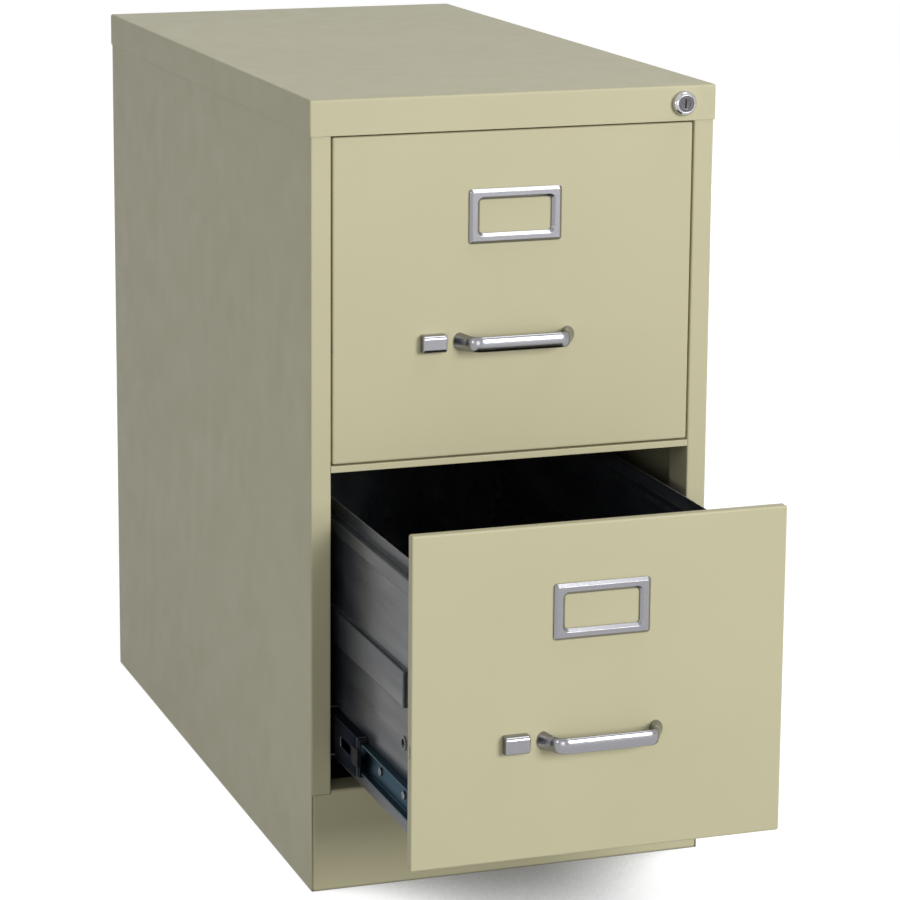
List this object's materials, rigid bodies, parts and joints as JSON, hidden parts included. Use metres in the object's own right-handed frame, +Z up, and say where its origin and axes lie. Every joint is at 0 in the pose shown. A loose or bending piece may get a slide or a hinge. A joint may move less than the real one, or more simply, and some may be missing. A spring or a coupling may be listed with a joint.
{
  "type": "filing cabinet",
  "caption": "Vertical letter-size filing cabinet in painted steel, with ball-slide drawers, bow handles, label holders, thumb latches and a lock that bars the drawers.",
  "frame": {"origin": "on the floor, in the middle of the plane of the case's front (the stiles); the lower drawer stands open in front of it", "axes": "+X to the right seen from the front, +Y to the back, +Z up"},
  "size_m": [0.381, 0.9637, 0.721],
  "materials": {
    "putty_paint": "smooth satin putty paint",
    "drawer_steel": "dark grey coated steel, satin",
    "satin_chrome": "satin chrome plate",
    "bright_chrome": "bright chrome plate",
    "lock_core_metal": "nickel plate, worn",
    "black_plastic": "moulded black plastic",
    "blue_zinc": "blue passivated zinc plate",
    "zinc_steel": "zinc plated steel",
    "plain_steel": "plain bright steel"
  },
  "bodies": {
    "case": {"back_panel": "putty_paint", "base_front": "putty_paint", "base_rear": "putty_paint", "divider_rail": "putty_paint", "left_rear_post": "putty_paint", "left_side": "putty_paint", "lock_bar_guides": "plain_steel", "lock_barrel": "bright_chrome", "lock_clip": "plain_steel", "lower_left_case_slide": "zinc_steel", "lower_right_case_slide": "zinc_steel", "right_rear_post": "putty_paint", "right_side": "putty_paint", "top_cap": "putty_paint", "top_rail": "putty_paint", "upper_left_case_slide": "zinc_steel", "upper_right_case_slide": "zinc_steel"},
    "lock_bar_body": {"lock_bar": "plain_steel"},
    "lock_core_and_cam": {"lock_cam": "plain_steel", "lock_core": "lock_core_metal"},
    "lower_drawer": {"lower_drawer_back": "drawer_steel", "lower_drawer_bottom": "drawer_steel", "lower_drawer_fasteners": "plain_steel", "lower_front": "putty_paint", "lower_front_liner": "putty_paint", "lower_handle": "satin_chrome", "lower_label_holder": "satin_chrome", "lower_latch_spring": "plain_steel", "lower_left_drawer_side": "drawer_steel", "lower_left_drawer_slide": "blue_zinc", "lower_right_drawer_side": "drawer_steel", "lower_right_drawer_slide": "blue_zinc"},
    "lower_inner_cages": {"lower_inner_ball_cages": "zinc_steel"},
    "lower_latch": {"lower_latch_bolt": "plain_steel", "lower_thumb_latch": "satin_chrome"},
    "lower_middle_slides": {"lower_left_middle_slide": "zinc_steel", "lower_right_middle_slide": "zinc_steel", "lower_slide_stops": "black_plastic"},
    "lower_outer_cages": {"lower_outer_ball_cages": "zinc_steel"},
    "upper_drawer": {"upper_drawer_back": "drawer_steel", "upper_drawer_bottom": "drawer_steel", "upper_drawer_fasteners": "plain_steel", "upper_front": "putty_paint", "upper_front_liner": "putty_paint", "upper_handle": "satin_chrome", "upper_label_holder": "satin_chrome", "upper_latch_spring": "plain_steel", "upper_left_drawer_side": "drawer_steel", "upper_left_drawer_slide": "blue_zinc", "upper_right_drawer_side": "drawer_steel", "upper_right_drawer_slide": "blue_zinc"},
    "upper_inner_cages": {"upper_inner_ball_cages": "zinc_steel"},
    "upper_latch": {"upper_latch_bolt": "plain_steel", "upper_thumb_latch": "satin_chrome"},
    "upper_middle_slides": {"upper_left_middle_slide": "zinc_steel", "upper_right_middle_slide": "zinc_steel", "upper_slide_stops": "black_plastic"},
    "upper_outer_cages": {"upper_outer_ball_cages": "zinc_steel"}
  },
  "joints": [
    {"name": "upper_drawer_slide", "type": "slide", "parent": "case", "child": "upper_drawer", "axis": [0, -1, 0], "range_m": [0, 0.61]},
    {"name": "upper_middle_slides_travel", "type": "slide", "parent": "case", "child": "upper_middle_slides", "axis": [0, -1, 0], "range_m": [0, 0.305]},
    {"name": "upper_outer_cages_travel", "type": "slide", "parent": "case", "child": "upper_outer_cages", "axis": [0, -1, 0], "range_m": [0, 0.1525]},
    {"name": "upper_inner_cages_travel", "type": "slide", "parent": "case", "child": "upper_inner_cages", "axis": [0, -1, 0], "range_m": [0, 0.4575]},
    {"name": "upper_thumb_latch_slide", "type": "slide", "parent": "upper_drawer", "child": "upper_latch", "axis": [1, 0, 0], "range_m": [0, 0.006], "stiffness_N_per_m": 300, "springref_m": -0.008, "deforming": ["upper_latch_spring"]},
    {"name": "lower_drawer_slide", "type": "slide", "parent": "case", "child": "lower_drawer", "axis": [0, -1, 0], "range_m": [-0.217, 0.393]},
    {"name": "lower_middle_slides_travel", "type": "slide", "parent": "case", "child": "lower_middle_slides", "axis": [0, -1, 0], "range_m": [-0.1085, 0.1965]},
    {"name": "lower_outer_cages_travel", "type": "slide", "parent": "case", "child": "lower_outer_cages", "axis": [0, -1, 0], "range_m": [-0.05425, 0.09825]},
    {"name": "lower_inner_cages_travel", "type": "slide", "parent": "case", "child": "lower_inner_cages", "axis": [0, -1, 0], "range_m": [-0.16275, 0.29475]},
    {"name": "lower_thumb_latch_slide", "type": "slide", "parent": "lower_drawer", "child": "lower_latch", "axis": [1, 0, 0], "range_m": [0, 0.006], "stiffness_N_per_m": 300, "springref_m": -0.008, "deforming": ["lower_latch_spring"]},
    {"name": "lock_core_turn", "type": "hinge", "parent": "case", "child": "lock_core_and_cam", "pos_m": [0.159, 0, 0.705], "axis": [0, 1, 0], "range_deg": [0, 90]},
    {"name": "lock_bar_travel", "type": "slide", "parent": "case", "child": "lock_bar_body", "axis": [0, 0, -1], "range_m": [0, 0.0198]}
  ],
  "couplings": [
    {"joint": "upper_middle_slides_travel", "follows": "upper_drawer_slide", "ratio": 0.5},
    {"joint": "upper_outer_cages_travel", "follows": "upper_drawer_slide", "ratio": 0.25},
    {"joint": "upper_inner_cages_travel", "follows": "upper_drawer_slide", "ratio": 0.75},
    {"joint": "lower_middle_slides_travel", "follows": "lower_drawer_slide", "ratio": 0.5},
    {"joint": "lower_outer_cages_travel", "follows": "lower_drawer_slide", "ratio": 0.25},
    {"joint": "lower_inner_cages_travel", "follows": "lower_drawer_slide", "ratio": 0.75},
    {"joint": "lock_core_turn", "follows": "lock_bar_travel", "rad_per_m": 79.33}
  ]
}
